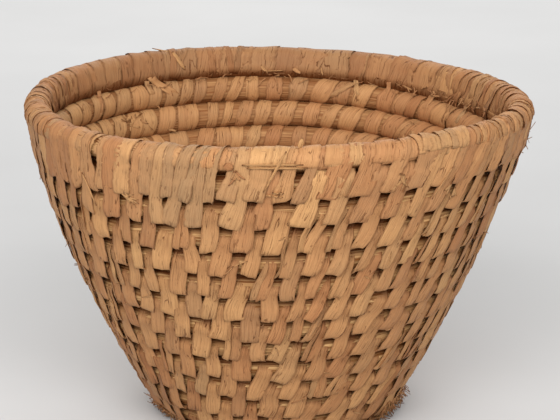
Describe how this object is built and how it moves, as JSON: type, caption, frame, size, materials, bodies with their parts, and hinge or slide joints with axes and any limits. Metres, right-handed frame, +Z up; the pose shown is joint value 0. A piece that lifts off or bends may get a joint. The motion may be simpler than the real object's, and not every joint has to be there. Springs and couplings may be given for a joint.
{
  "type": "coiled straw basket",
  "caption": "Deep round basket with flaring walls, wound from one straw coil, sewn row to row with flat bark strips and finished with a thick overcast rim; holds grain and other crops.",
  "frame": {"origin": "centre of the round base, on the surface that the basket stands on", "axes": "+Z up along the basket's axis, out of its mouth; -Y towards the viewer of the picture, +X to the viewer's right"},
  "size_m": [0.4, 0.4, 0.255],
  "materials": {
    "straw": "matte",
    "binding_strip": "matte",
    "rim_strip": "matte"
  },
  "bodies": {
    "root": {"straw_coil": "straw", "base_binding_01": "binding_strip", "base_binding_02": "binding_strip", "base_binding_03": "binding_strip", "base_binding_04": "binding_strip", "wall_binding_01": "binding_strip", "wall_binding_02": "binding_strip", "wall_binding_03": "binding_strip", "wall_binding_04": "binding_strip", "wall_binding_05": "binding_strip", "wall_binding_06": "binding_strip", "wall_binding_07": "binding_strip", "wall_binding_08": "binding_strip", "wall_binding_09": "binding_strip", "wall_binding_10": "binding_strip", "wall_binding_11": "binding_strip", "wall_binding_12": "binding_strip", "wall_binding_13": "binding_strip", "rim_core": "straw", "rim_wrap": "rim_strip"}
  },
  "joints": []
}
